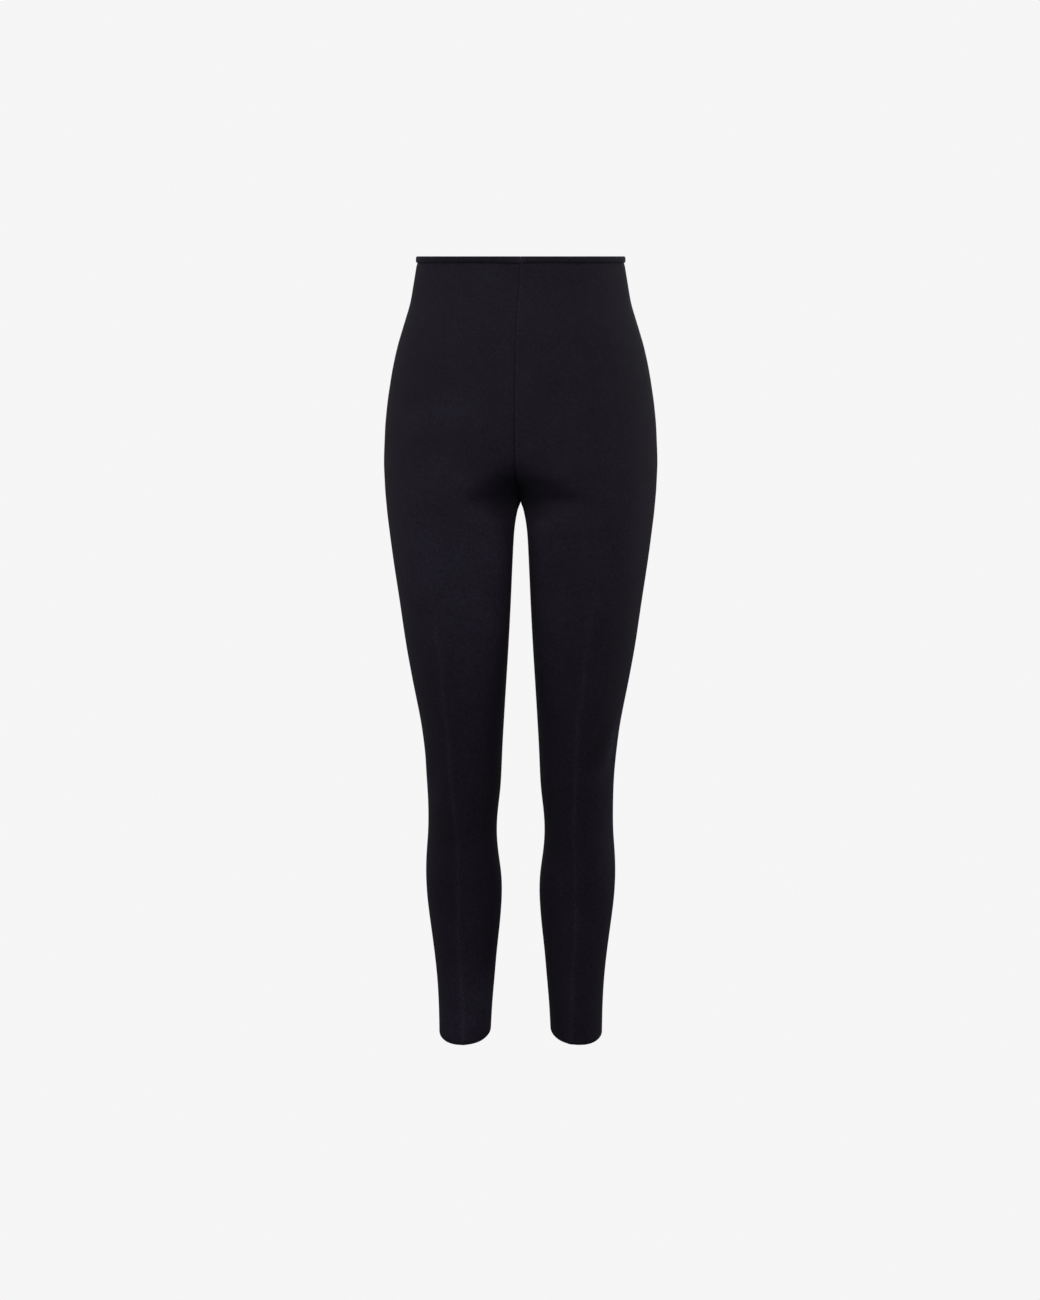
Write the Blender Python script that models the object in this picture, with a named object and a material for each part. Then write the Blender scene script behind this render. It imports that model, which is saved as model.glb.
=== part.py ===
"""High-waisted leggings in stretch jersey, filled out as if worn, with no wearer.

Each leg is one piece of cloth that wraps the whole leg. Its two long edges meet the other leg
at the centre front and the centre back, and each other down the inside leg. A narrow elastic
in a casing finishes the waist, half of it on each leg.

Metres, +Z up, the front towards -Y and the wearer's left towards +X. The origin is the middle
of the waist opening, level with the top edge. Drops are measured down from the top edge.
"""
import math
from collections import namedtuple

import bmesh
import bpy
from mathutils import Vector

MM = 0.001

# Driving sizes
CLOTH = 1.5 * MM
SEAM_GAP = 0.3 * MM
CASING_HEIGHT = 8.0 * MM
CASING_PROUD = 1.5 * MM
INSEAM_TOP = 311.6 * MM
HEM_DROP = 1027.5 * MM
HEM_FRONT_DIP = 7.0 * MM
HEM_BACK_DIP = 3.0 * MM
HEM_INNER_RISE = 4.0 * MM
HEM_CURVE = 1.25
HEM_CURVE_HEIGHT = 90.0 * MM
PANEL_TOP = CASING_HEIGHT + SEAM_GAP
RIGHT = -1
LEFT = 1

# How finely the cloth is divided. The cells round the cloth run from the front edge to the
# front crease, across it, round the outer side to the back crease, across it and on to the
# back edge. The front and back cells crowd towards the edges, and the rings towards the crotch.
BODY_RINGS = 18
LEG_RINGS = 27
CELLS_ROUND = (5, 2, 12, 2, 5)
CREASE_COLUMNS = (CELLS_ROUND[0] + 1, sum(CELLS_ROUND[:3]) + 1)
EDGE_CROWDING = 1.5
WALK_STEPS = 240
ROUTE_STEPS = 400
ROUTE_CROWDING = 4
FIRST_RING_CROWDING = 0.45
CASING_STATIONS = 24
CASING_SIDES = 10
CASING_ROUNDNESS = 0.75
CASING_AIM_SHARE = 0.01
CRISP_EDGE_DEGREES = 50
GRID_REACH = 1.0

# Between these drops the girth jumps, as the body divides into legs. Only the columns near the
# cloth's edges take up the jump, more so with a higher power.
JUMP_TOP = 200.0 * MM
JUMP_BOTTOM = 420.0 * MM
JUMP_POWER = 5
SHARE_STEPS = 500

# One row per level of the garment, in millimetres. drop: below the top edge. outer: from the
# centre plane to the outer side. inner_front, inner_back: from the centre plane to the leg's
# inner side on the oval's front and back halves, negative where that half would reach past the
# plane and is cut by it. front, middle, back: the oval's front, its widest place and its back.
# fullness: 2 is an ellipse, more is squarer. inside: the fullness of the inner front quarter.
Level = namedtuple("Level", "drop outer inner_front inner_back front middle back fullness inside")
LEVELS = [
    Level(0, 130.1, -130.1, -130.1, -92.0, 2.0, 92.0, 2.10, 2.10),
    Level(12, 131.0, -131.0, -131.0, -92.2, 2.0, 92.0, 2.10, 2.10),
    Level(24, 133.3, -133.3, -133.3, -93.2, 2.4, 92.4, 2.12, 2.12),
    Level(60, 140.1, -140.1, -140.1, -97.2, 4.0, 95.0, 2.16, 2.16),
    Level(80, 146.3, -146.3, -146.3, -99.4, 5.2, 98.4, 2.20, 2.20),
    Level(117, 157.5, -157.5, -157.5, -102.2, 7.8, 107.4, 2.25, 2.25),
    Level(155, 165.6, -164.6, -165.6, -103.3, 10.0, 117.4, 2.30, 2.30),
    Level(193, 171.1, -151.0, -166.0, -102.7, 11.4, 124.2, 2.36, 2.36),
    Level(231, 174.2, -114.0, -152.0, -101.1, 11.2, 125.4, 2.40, 2.40),
    Level(260, 174.9, -58.0, -122.0, -99.9, 9.8, 121.4, 2.40, 2.40),
    Level(285, 174.3, -11.0, -76.0, -98.8, 8.2, 115.2, 2.37, 1.95),
    Level(302, 173.2, -1.4, -29.0, -98.1, 7.1, 110.4, 2.33, 1.75),
    Level(311.6, 172.4, 0.2, 0.2, -97.7, 6.4, 107.5, 2.30, 2.50),
    Level(320, 171.7, 4.4, 4.4, -97.4, 5.9, 105.1, 2.27, 5.60),
    Level(340, 169.5, 7.9, 7.9, -96.9, 4.8, 99.7, 2.21, 7.60),
    Level(379, 164.7, 10.1, 10.1, -95.6, 2.6, 91.2, 2.14, 7.80),
    Level(438, 156.3, 12.7, 12.7, -92.6, 0.2, 82.6, 2.10, 6.20),
    Level(497, 148.0, 15.8, 15.8, -87.2, -1.8, 75.2, 2.08, 4.40),
    Level(556, 137.6, 19.4, 19.4, -79.6, -3.2, 67.4, 2.06, 3.20),
    Level(596, 130.1, 21.8, 21.8, -72.8, -3.8, 61.6, 2.06, 2.40),
    Level(636, 125.2, 24.0, 24.0, -65.0, -3.6, 56.6, 2.06, 2.15),
    Level(677, 122.1, 25.8, 25.8, -56.6, -1.8, 53.8, 2.06, 2.06),
    Level(707, 121.6, 28.7, 28.7, -50.2, 2.2, 55.2, 2.04, 2.04),
    Level(738, 122.1, 31.6, 31.6, -44.6, 8.0, 60.4, 2.04, 2.04),
    Level(768, 124.0, 30.8, 30.8, -40.0, 14.0, 67.0, 2.04, 2.04),
    Level(799, 126.1, 26.6, 26.6, -36.0, 18.0, 72.0, 2.04, 2.04),
    Level(830, 125.3, 25.0, 25.0, -32.6, 19.8, 73.6, 2.04, 2.04),
    Level(861, 122.4, 26.3, 26.3, -29.6, 20.4, 72.6, 2.04, 2.04),
    Level(902, 117.4, 30.6, 30.6, -26.4, 20.4, 69.4, 2.04, 2.04),
    Level(944, 112.9, 34.3, 34.3, -24.2, 20.2, 65.8, 2.04, 2.04),
    Level(986, 110.5, 37.7, 37.7, -22.8, 20.2, 63.4, 2.12, 2.12),
    Level(1005, 110.1, 39.0, 39.0, -22.4, 20.2, 62.9, 2.20, 2.20),
    Level(1040, 109.6, 40.6, 40.6, -21.8, 20.2, 62.4, 2.30, 2.30),
]

# The pressed crease down the front of each leg and its fellow down the back, one row per level:
# how far out from the centre plane it lies, in millimetres.
Crease = namedtuple("Crease", "drop right_front left_front right_back left_back")
CREASES = [
    Crease(0, 62, 60, 62, 64),
    Crease(390, 112, 97, 92, 96),
    Crease(440, 107, 90, 88, 92),
    Crease(570, 95, 71, 80, 84),
    Crease(640, 90, 70, 76, 79),
    Crease(720, 84, 69, 75, 77),
    Crease(790, 80, 71, 73, 76),
    Crease(860, 81, 71, 74, 72),
    Crease(950, 77, 68, 75, 71),
    Crease(1030, 75, 66, 75, 72),
]
CREASE_HEIGHT = 1.0 * MM
CREASE_HALF_WIDTH = 6.0 * MM
CREASE_START = 380 * MM
CREASE_FULL = 560 * MM

# Soft folds at the outer knee, behind the knee and under the seat, one row each. share: how far
# round the cloth from its front edge to its back edge. length, width and height: in millimetres,
# a ridge's height above nought and a trough's below. lean: degrees the fold is turned from level.
Fold = namedtuple("Fold", "leg drop share length width height lean")
FOLDS = [
    Fold(LEFT, 622, 0.455, 34, 11, 1.4, 68),
    Fold(LEFT, 664, 0.405, 40, 11, 1.8, 62),
    Fold(LEFT, 668, 0.350, 36, 12, -1.4, 60),
    Fold(RIGHT, 655, 0.445, 38, 11, 1.5, -72),
    Fold(RIGHT, 668, 0.385, 34, 12, -1.1, -66),
    Fold(RIGHT, 690, 0.76, 34, 9, -1.8, 8),
    Fold(LEFT, 684, 0.75, 38, 9, -2.0, -6),
    Fold(RIGHT, 716, 0.72, 28, 8, -1.3, -10),
    Fold(LEFT, 712, 0.78, 30, 8, -1.4, 7),
    Fold(RIGHT, 330, 0.84, 34, 10, -1.6, 16),
    Fold(LEFT, 334, 0.85, 36, 10, -1.8, 14),
]

# The centre-front seam bows towards the wearer's right, one row per level, in millimetres, and
# the cloth beside and just behind it goes with it.
Bow = namedtuple("Bow", "drop shift")
FRONT_BOW = [Bow(0, -1.0), Bow(80, -2.6), Bow(160, -5.0), Bow(250, -6.4), Bow(300, -4.2), Bow(320, 0)]
BOW_REACH = 70 * MM
BOW_DEPTH = 40 * MM

# How the cloth is eased about the crotch, one row per round of smoothing: how many rings above
# and below it, how many columns in from each edge, and how many passes.
Ease = namedtuple("Ease", "rings columns passes")
CROTCH_EASE = [Ease(3, 2, 3), Ease(2, 3, 2), Ease(1, 4, 2)]


def smooth_step(low, high, value):
    """0 below low, 1 above high, easing in and out between them."""
    share = min(max((value - low) / (high - low), 0.0), 1.0)
    return share * share * (3.0 - 2.0 * share)


def read_rows(rows, drop):
    """A row of metres at any drop, on smooth curves through the rows that never overshoot."""
    drops = [row.drop * MM for row in rows]
    place = min(max(drop, drops[0]), drops[-1])
    last = len(rows) - 2
    index = min(sum(1 for level in drops[1:] if level < place), last)
    span = drops[index + 1] - drops[index]
    share = (place - drops[index]) / span
    values = [place]
    for column in rows[0]._fields[1:]:
        scale = 1.0 if column in ("fullness", "inside") else MM
        heights = [getattr(row, column) * scale for row in rows]
        low = gentle_slope(drops, heights, index)
        high = gentle_slope(drops, heights, index + 1)
        values.append(hermite(heights[index], heights[index + 1], low * span, high * span, share))
    return rows[0]._make(values)


def gentle_slope(places, heights, index):
    """The slope of the curve at one row: level at a peak, and between its neighbours' slopes."""
    if index in (0, len(places) - 1):
        near = 0 if index == 0 else index - 1
        return (heights[near + 1] - heights[near]) / (places[near + 1] - places[near])
    before = (heights[index] - heights[index - 1]) / (places[index] - places[index - 1])
    after = (heights[index + 1] - heights[index]) / (places[index + 1] - places[index])
    if before * after <= 0.0:
        return 0.0
    return 2.0 * before * after / (before + after)


def hermite(start, end, start_slope, end_slope, share):
    """A cubic from start to end with the given slopes."""
    square = share * share
    cube = square * share
    return (
        (2 * cube - 3 * square + 1) * start
        + (cube - 2 * square + share) * start_slope
        + (3 * square - 2 * cube) * end
        + (cube - square) * end_slope
    )


def half_oval(level, on_back):
    """Half width, middle x and depth of the front or the back half of the right leg's oval."""
    inner = level.inner_back if on_back else level.inner_front
    depth = level.back - level.middle if on_back else level.middle - level.front
    return (level.outer - inner) / 2, -(level.outer + inner) / 2, depth


def oval_point(level, angle):
    """A point (x, y) of the right leg's oval, from its inner side round by the front."""
    across, along = math.cos(angle), math.sin(angle)
    half_width, centre, depth = half_oval(level, along < 0)
    power = 2.0 / (level.inside if across > 0 and along > 0 else level.fullness)
    out = math.copysign(abs(across) ** power, across)
    ahead = math.copysign(abs(along) ** power, along)
    return centre + half_width * out, level.middle - depth * ahead


def edge_angles(level):
    """Where the cloth's front and back edges lie on the oval: at the centre plane or, where the
    oval stays clear of it, half a seam gap either side of the inside leg."""
    angles = []
    for on_back in (False, True):
        half_width, centre, depth = half_oval(level, on_back)
        reach = min((-SEAM_GAP / 2 - centre) / half_width, 1.0)
        fullness = level.fullness if on_back or reach < 0 else level.inside
        plane_cut = math.acos(math.copysign(abs(reach) ** (fullness / 2), reach))
        inseam_cut = math.asin((SEAM_GAP / 2 / depth) ** (level.fullness / 2))
        angles.append(max(plane_cut, inseam_cut))
    return angles[0], 2 * math.pi - angles[1]


def walk_round(level):
    """Points round the right leg's oval from edge to edge: (distance from the front edge, x, y)."""
    start, end = edge_angles(level)
    walk = []
    length = 0.0
    for step in range(WALK_STEPS + 1):
        x, y = oval_point(level, start + (end - start) * step / WALK_STEPS)
        if walk:
            length += math.hypot(x - walk[-1][1], y - walk[-1][2])
        walk.append((length, x, y))
    return walk


def read_at_share(walk, share):
    """What lies a share of the way along a walk, whose points start with their distance."""
    target = share * walk[-1][0]
    for before, after in zip(walk, walk[1:]):
        if after[0] >= target and after[0] > before[0]:
            part = (target - before[0]) / (after[0] - before[0])
            return [low + (high - low) * part for low, high in zip(before[1:], after[1:])]
    return list(walk[-1][1:])


def girth_at(drop):
    """How far it is round one leg's cloth, from its front edge to its back edge."""
    return walk_round(read_rows(LEVELS, drop))[-1][0]


GIRTH_ABOVE = girth_at(JUMP_TOP)
GIRTH_BELOW = girth_at(JUMP_BOTTOM)


def laid_share(share, drop, girth):
    """The share of the way round at which a column lies: its own, but for the girth's jump."""
    if not JUMP_TOP < drop < JUMP_BOTTOM:
        return share
    down = (drop - JUMP_TOP) / (JUMP_BOTTOM - JUMP_TOP)
    even_girth = GIRTH_ABOVE + (GIRTH_BELOW - GIRTH_ABOVE) * down
    off_side = 2 * share - 1
    at_edges = (girth - even_girth) * math.copysign(abs(off_side) ** JUMP_POWER, off_side)
    return 0.5 + (even_girth * off_side + at_edges) / (2 * girth)


def share_at_reach(level, reach, on_back):
    """The share of the column whose front, or back, first lies a reach from the centre."""
    walk = walk_round(level)
    girth = walk[-1][0]
    for length, x, _ in reversed(walk) if on_back else walk:
        if -x >= reach:
            wanted = length / girth
            break
    for step in range(SHARE_STEPS + 1):
        share = step / SHARE_STEPS
        if laid_share(share, level.drop, girth) >= wanted:
            break
    return share


def crotch_route(on_back):
    """The cloth's edge from its top to the crotch: (distance, drop) pairs."""
    route = []
    length = 0.0
    last_y = None
    for step in range(ROUTE_STEPS + 1):
        share = 1.0 - (1.0 - step / ROUTE_STEPS) ** ROUTE_CROWDING
        drop = PANEL_TOP + (INSEAM_TOP - PANEL_TOP) * share
        level = read_rows(LEVELS, drop)
        y = oval_point(level, edge_angles(level)[1 if on_back else 0])[1]
        if route:
            length += math.hypot(drop - route[-1][1], y - last_y)
        route.append((length, drop))
        last_y = y
    return route


def ring_drops():
    """Each ring's drop at the cloth's front edge, at its outer side and at its back edge."""
    front = crotch_route(False)
    back = crotch_route(True)
    drops = []
    for ring in range(BODY_RINGS + 1):
        share = ring / BODY_RINGS
        outer = PANEL_TOP + (INSEAM_TOP - PANEL_TOP) * share
        drops.append((read_at_share(front, share)[0], outer, read_at_share(back, share)[0]))
    for ring in range(1, LEG_RINGS + 1):
        share = ring / LEG_RINGS
        eased = share - FIRST_RING_CROWDING * share * (1.0 - share)
        drops.append((INSEAM_TOP + (HEM_DROP - INSEAM_TOP) * eased,) * 3)
    return drops


def column_shares(front_crease, back_crease, girth):
    """The columns' shares of the way round, with three columns on each pressed crease."""
    beside = CREASE_HALF_WIDTH / girth
    stops = [0.0, front_crease - beside, front_crease + beside]
    stops += [back_crease - beside, back_crease + beside, 1.0]
    shares = [0.0]
    for cells, start, end in zip(CELLS_ROUND, stops, stops[1:]):
        for cell in range(cells):
            part = (cell + 1) / cells
            if start == 0.0:
                part = part ** EDGE_CROWDING
            if end == 1.0:
                part = 1.0 - (1.0 - part) ** EDGE_CROWDING
            shares.append(start + (end - start) * part)
    return shares


def relief(side, drop, share, girth, on_crease):
    """How far the cloth stands proud of the plain form, at its creases and soft folds."""
    height = CREASE_HEIGHT * smooth_step(CREASE_START, CREASE_FULL, drop) if on_crease else 0.0
    for fold in FOLDS:
        if fold.leg != side:
            continue
        across = (share - fold.share) * girth
        down = drop - fold.drop * MM
        lean = math.radians(fold.lean)
        along_fold = across * math.cos(lean) - down * math.sin(lean)
        off_fold = across * math.sin(lean) + down * math.cos(lean)
        fade = (along_fold / (fold.length * MM)) ** 2 + (off_fold / (fold.width * MM)) ** 2
        height += fold.height * MM * math.exp(-fade)
    return height


def hem_dip(level, x, y):
    """How much lower than its outer side the hem lies: lower in front and behind, and a little
    higher on the inner side."""
    if y < level.middle:
        dip = HEM_FRONT_DIP * ((level.middle - y) / (level.middle - level.front)) ** HEM_CURVE
    else:
        dip = HEM_BACK_DIP * ((y - level.middle) / (level.back - level.middle)) ** HEM_CURVE
    inward = (x + level.outer) / (level.outer - level.inner_front)
    return dip - HEM_INNER_RISE * inward ** 2


def bow_front(point):
    """The point moved sideways with the bow of the centre-front seam."""
    shift = read_rows(FRONT_BOW, -point.z).shift
    near_seam = 1.0 - smooth_step(0.0, BOW_REACH, abs(point.x))
    in_front = smooth_step(0.0, BOW_DEPTH, -point.y)
    return point + Vector((shift * near_seam * in_front, 0.0, 0.0))


def leg_rings(side):
    """One leg's outer points ring by ring, each with how far it stands proud."""
    rings = []
    for front_drop, outer_drop, back_drop in ring_drops():
        ring_level = read_rows(LEVELS, outer_drop)
        girth = girth_at(outer_drop)
        crease = read_rows(CREASES, outer_drop)
        front_reach, back_reach = crease.right_front, crease.right_back
        if side == LEFT:
            front_reach, back_reach = crease.left_front, crease.left_back
        front_share = share_at_reach(ring_level, front_reach, False)
        back_share = share_at_reach(ring_level, back_reach, True)
        hem_share = smooth_step(HEM_DROP - HEM_CURVE_HEIGHT, HEM_DROP, outer_drop)
        ring = []
        for column, share in enumerate(column_shares(front_share, back_share, girth)):
            edge_drop = front_drop if share < 0.5 else back_drop
            drop = edge_drop + (outer_drop - edge_drop) * math.sin(math.pi * share) ** 2
            level = read_rows(LEVELS, drop)
            walk = walk_round(level)
            x, y = read_at_share(walk, laid_share(share, drop, walk[-1][0]))
            low = drop + hem_dip(level, x, y) * hem_share
            proud = relief(side, drop, share, girth, column in CREASE_COLUMNS)
            ring.append((bow_front(Vector((-side * x, y, -low))), proud))
        rings.append(ring)
    return rings


def ease_crotch(shape, places):
    """Rounds the hollow where the thigh meets the body, between the cloth's edge and its side."""
    for ease in CROTCH_EASE:
        near = []
        for vertex, (ring, column) in places.items():
            from_edge = min(column, sum(CELLS_ROUND) - column)
            if abs(ring - BODY_RINGS) <= ease.rings and 0 < from_edge <= ease.columns:
                near.append(vertex)
        for _ in range(ease.passes):
            bmesh.ops.smooth_vert(
                shape, verts=near, factor=0.5, use_axis_x=True, use_axis_y=True, use_axis_z=True
            )


def make_leg_panel(name, side, material):
    """One leg's cloth: a flat grid laid on the leg's form, raised at its folds, given a wall."""
    rings = leg_rings(side)
    columns = sum(CELLS_ROUND)
    mesh = bpy.data.meshes.new(name)
    panel = bpy.data.objects.new(name, mesh)
    bpy.context.collection.objects.link(panel)
    shape = bmesh.new()
    bmesh.ops.create_grid(shape, x_segments=columns, y_segments=len(rings) - 1, size=GRID_REACH)
    proud = {}
    places = {}
    for vertex in shape.verts:
        column = round((vertex.co.x / GRID_REACH + 1) / 2 * columns)
        ring = round((vertex.co.y / GRID_REACH + 1) / 2 * (len(rings) - 1))
        places[vertex] = (ring, column)
        vertex.co, proud[vertex] = rings[ring][column]
    if side == LEFT:
        bmesh.ops.reverse_faces(shape, faces=shape.faces)
    ease_crotch(shape, places)
    shape.normal_update()
    for vertex, height in proud.items():
        vertex.co += vertex.normal * height
    bmesh.ops.solidify(shape, geom=shape.faces[:], thickness=CLOTH)
    shape.to_mesh(mesh)
    shape.free()
    finish(panel, material)


def make_casing(name, side, material):
    """Half the waist casing: a flattened roll of cloth over the elastic, along the top edge."""
    level = read_rows(LEVELS, CASING_HEIGHT / 2)
    walk = walk_round(level)
    mesh = bpy.data.meshes.new(name)
    casing = bpy.data.objects.new(name, mesh)
    bpy.context.collection.objects.link(casing)
    shape = bmesh.new()
    loops = []
    for station in range(CASING_STATIONS + 1):
        share = station / CASING_STATIONS
        x, y = read_at_share(walk, share)
        ahead = read_at_share(walk, min(share + CASING_AIM_SHARE, 1.0))
        behind = read_at_share(walk, max(share - CASING_AIM_SHARE, 0.0))
        along = Vector((ahead[0] - behind[0], ahead[1] - behind[1], 0.0))
        if station in (0, CASING_STATIONS):
            along.y = 0.0
        outward = along.cross(Vector((0.0, 0.0, -1.0))).normalized()
        centre = Vector((x, y, -CASING_HEIGHT / 2)) - outward * CLOTH / 2
        capped = station in (0, CASING_STATIONS)
        made = bmesh.ops.create_circle(shape, cap_ends=capped, segments=CASING_SIDES, radius=1.0)
        for vertex in made["verts"]:
            across = math.copysign(abs(vertex.co.x) ** CASING_ROUNDNESS, vertex.co.x)
            up = math.copysign(abs(vertex.co.y) ** CASING_ROUNDNESS, vertex.co.y)
            place = centre + outward * across * (CLOTH / 2 + CASING_PROUD)
            place.z += up * CASING_HEIGHT / 2
            place.x *= -side
            vertex.co = bow_front(place)
        loops.append({edge for vertex in made["verts"] for edge in vertex.link_edges})
    for before, after in zip(loops, loops[1:]):
        bmesh.ops.bridge_loops(shape, edges=list(before | after))
    bmesh.ops.recalc_face_normals(shape, faces=shape.faces)
    shape.to_mesh(mesh)
    shape.free()
    finish(casing, material)


def finish(piece, material):
    """Gives a piece its material, and smooth shading between crisp edges."""
    piece.data.materials.append(material)
    piece.data.shade_smooth()
    piece.data.set_sharp_from_angle(angle=math.radians(CRISP_EDGE_DEGREES))


def make_jersey(name, colour, roughness):
    """A matt cloth material."""
    jersey = bpy.data.materials.new(name)
    jersey.use_nodes = True
    shader = jersey.node_tree.nodes["Principled BSDF"]
    shader.inputs["Base Color"].default_value = (*colour, 1.0)
    shader.inputs["Roughness"].default_value = roughness
    shader.inputs["Metallic"].default_value = 0.0
    return jersey


for old in list(bpy.data.objects):
    bpy.data.objects.remove(old, do_unlink=True)

make_leg_panel("right_leg_panel", RIGHT, make_jersey("right_leg_jersey", (0.012, 0.011, 0.017), 0.8))
make_leg_panel("left_leg_panel", LEFT, make_jersey("left_leg_jersey", (0.012, 0.011, 0.017), 0.8))
make_casing("right_waist_casing", RIGHT, make_jersey("right_casing_jersey", (0.015, 0.014, 0.019), 0.75))
make_casing("left_waist_casing", LEFT, make_jersey("left_casing_jersey", (0.015, 0.014, 0.019), 0.75))
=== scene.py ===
"""High-waisted leggings in matt black stretch jersey, filled out as if worn, with no wearer.

Metres, +Z up, the front towards -Y and the wearer's left towards +X. The origin is the middle
of the waist opening, level with the top edge, and drops are measured down from that edge.
"""
import math
from collections import namedtuple

import bmesh
import bpy
import numpy as np
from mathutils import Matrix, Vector


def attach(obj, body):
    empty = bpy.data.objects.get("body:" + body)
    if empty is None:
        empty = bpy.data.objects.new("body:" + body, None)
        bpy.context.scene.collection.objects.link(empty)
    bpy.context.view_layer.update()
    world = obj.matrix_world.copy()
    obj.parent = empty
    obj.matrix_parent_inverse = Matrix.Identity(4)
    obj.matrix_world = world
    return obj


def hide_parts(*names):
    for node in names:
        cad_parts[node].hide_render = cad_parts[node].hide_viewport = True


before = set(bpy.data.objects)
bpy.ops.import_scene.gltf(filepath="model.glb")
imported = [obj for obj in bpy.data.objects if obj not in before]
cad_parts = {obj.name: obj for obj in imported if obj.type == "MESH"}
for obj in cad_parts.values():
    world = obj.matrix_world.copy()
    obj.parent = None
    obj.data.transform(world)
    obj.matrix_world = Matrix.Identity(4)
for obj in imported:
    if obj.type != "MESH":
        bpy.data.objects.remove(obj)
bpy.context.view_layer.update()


# ---- Leg panels ------------------------------------------------------------------------------
# Each leg is one piece of fine black stretch jersey that wraps the whole leg. Its long edges are
# overlocked to the other leg at the centre front and back, and to each other down the inside
# leg, with the allowances turned in. The hem is turned up inside the cloth.

MM = 0.001
JERSEY = 0.7 * MM
SEAM_GAP = 0.1 * MM
SEAM_ROUND = 0.8 * MM
SEAM_ROUND_STEPS = 3
SEAM_ALLOWANCE = 5.0 * MM
ALLOWANCE_DEPTH = 1.6 * MM
ALLOWANCE_STEP = 0.1 * MM
FOLD_CHANGE = 12.0 * MM
FOLD_END = (70.0 * MM, 30.0 * MM)
FOLD_AIM_COLUMNS = 3
CASING_HEIGHT = 8.0 * MM
CASING_CLEARANCE = 0.3 * MM
PANEL_TOP = CASING_HEIGHT + CASING_CLEARANCE
INSEAM_TOP = 311.6 * MM
HEM_DROP = 1027.5 * MM
HEM_FRONT_DIP = 7.0 * MM
HEM_BACK_DIP = 3.0 * MM
HEM_INNER_RISE = 4.0 * MM
HEM_CURVE = 1.25
HEM_CURVE_HEIGHT = 90.0 * MM
RIGHT = -1
LEFT = 1
WALK_STEPS = 240
ROUTE_STEPS = 400
ROUTE_CROWDING = 4
FIRST_RING_CROWDING = 0.45
BODY_RINGS = 18
LEG_RINGS = 27
COLUMNS = 34
COLUMN_CROWDING = 0.7
SHARE_STEPS = 500

# Between these drops the girth jumps, as the body divides into legs. Only the columns near the
# cloth's edges take up the jump, more so with a higher power.
JUMP_TOP = 190.0 * MM
JUMP_BOTTOM = 430.0 * MM
JUMP_POWER = 5
JUMP_STEP = 4.0 * MM

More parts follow.
